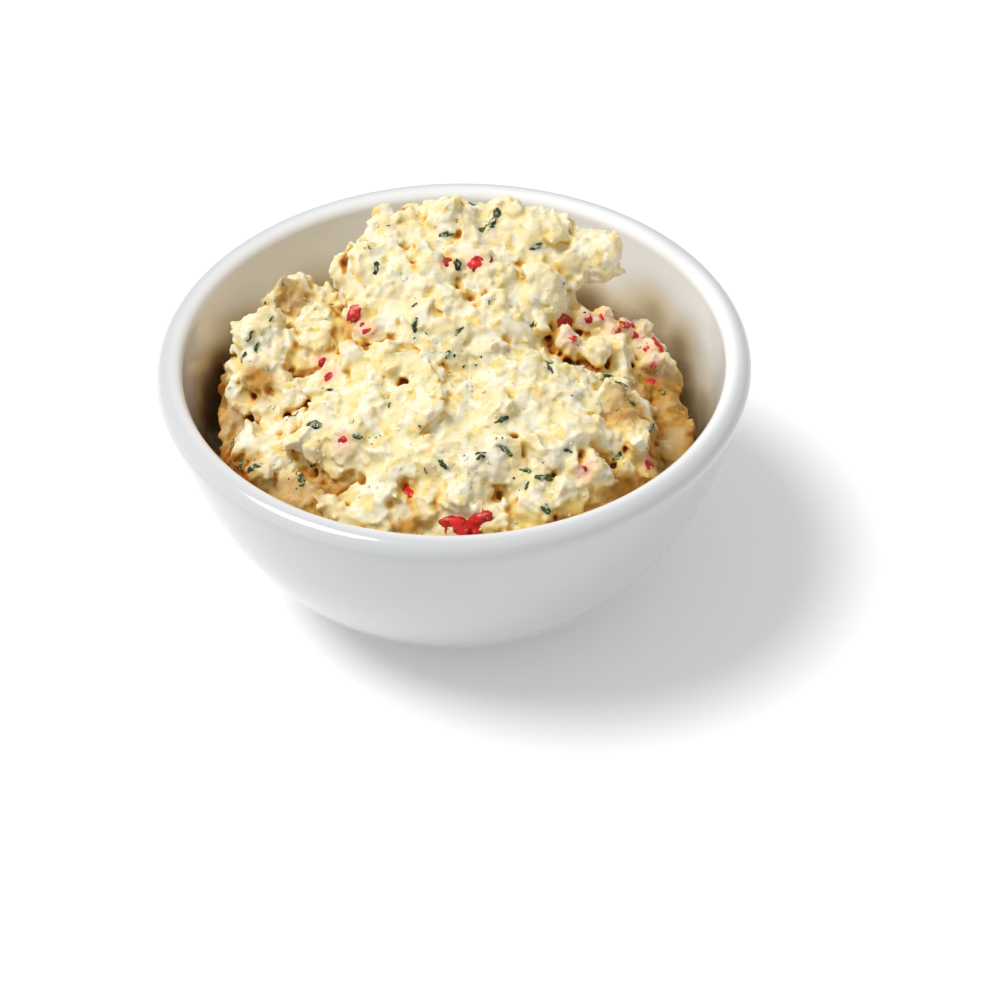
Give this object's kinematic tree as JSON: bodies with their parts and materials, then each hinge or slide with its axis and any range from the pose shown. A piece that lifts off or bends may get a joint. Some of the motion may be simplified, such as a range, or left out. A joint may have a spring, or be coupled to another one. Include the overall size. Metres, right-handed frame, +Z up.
{
  "type": "garlic feta spread in a bowl",
  "caption": "Chunky cream-coloured feta spread with herb flakes and red pepper pieces, heaped in a plain round white bowl with a rounded lip and a small foot.",
  "frame": {"origin": "middle of the bowl's foot, on the surface the bowl stands on", "axes": "+Z up along the bowl's axis, -Y towards the low front of the heap, +X to its right"},
  "size_m": [0.12, 0.12, 0.0773],
  "materials": {
    "white_glaze": "smooth glossy white glaze on stoneware",
    "feta": "moist crumbly cream cheese with dark green herb flakes and red pepper"
  },
  "bodies": {
    "root": {"bowl": "white_glaze", "feta_spread": "feta"}
  },
  "joints": []
}
